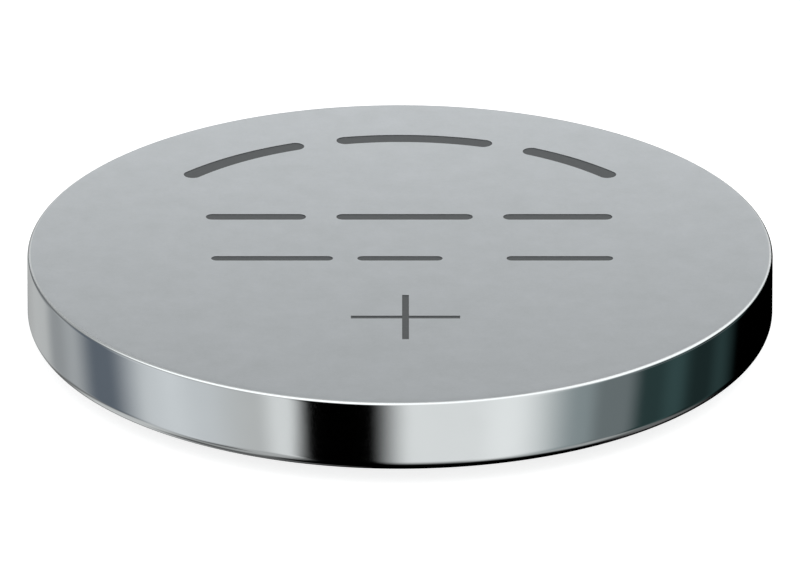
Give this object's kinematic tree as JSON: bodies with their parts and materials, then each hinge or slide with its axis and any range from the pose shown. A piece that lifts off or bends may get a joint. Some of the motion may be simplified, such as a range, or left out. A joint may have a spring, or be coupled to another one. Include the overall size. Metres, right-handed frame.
{
  "type": "lithium coin cell",
  "caption": "Flat round battery: a crimped metal can as the positive side, a stepped cap as the negative side and a gasket between them, with the electrode stack inside.",
  "frame": {"origin": "centre of the negative face, on which the cell lies", "axes": "+Z along the cell's axis, from the negative face towards the positive face"},
  "size_m": [0.0244, 0.0244, 0.003],
  "materials": {
    "can_steel": "satin nickel plating on the face, polished on the side",
    "cap_steel": "satin nickel plating",
    "gasket_plastic": "matte black polypropylene",
    "lithium_metal": "soft dull metal",
    "separator_cloth": "white non-woven cloth",
    "cathode_powder": "pressed black powder",
    "collector_steel": "bare expanded stainless"
  },
  "bodies": {
    "root": {"positive_can": "can_steel", "negative_cap": "cap_steel", "sealing_gasket": "gasket_plastic", "lithium_anode": "lithium_metal", "separator_cup": "separator_cloth", "cathode_pellet": "cathode_powder", "cathode_collector": "collector_steel"}
  },
  "joints": []
}
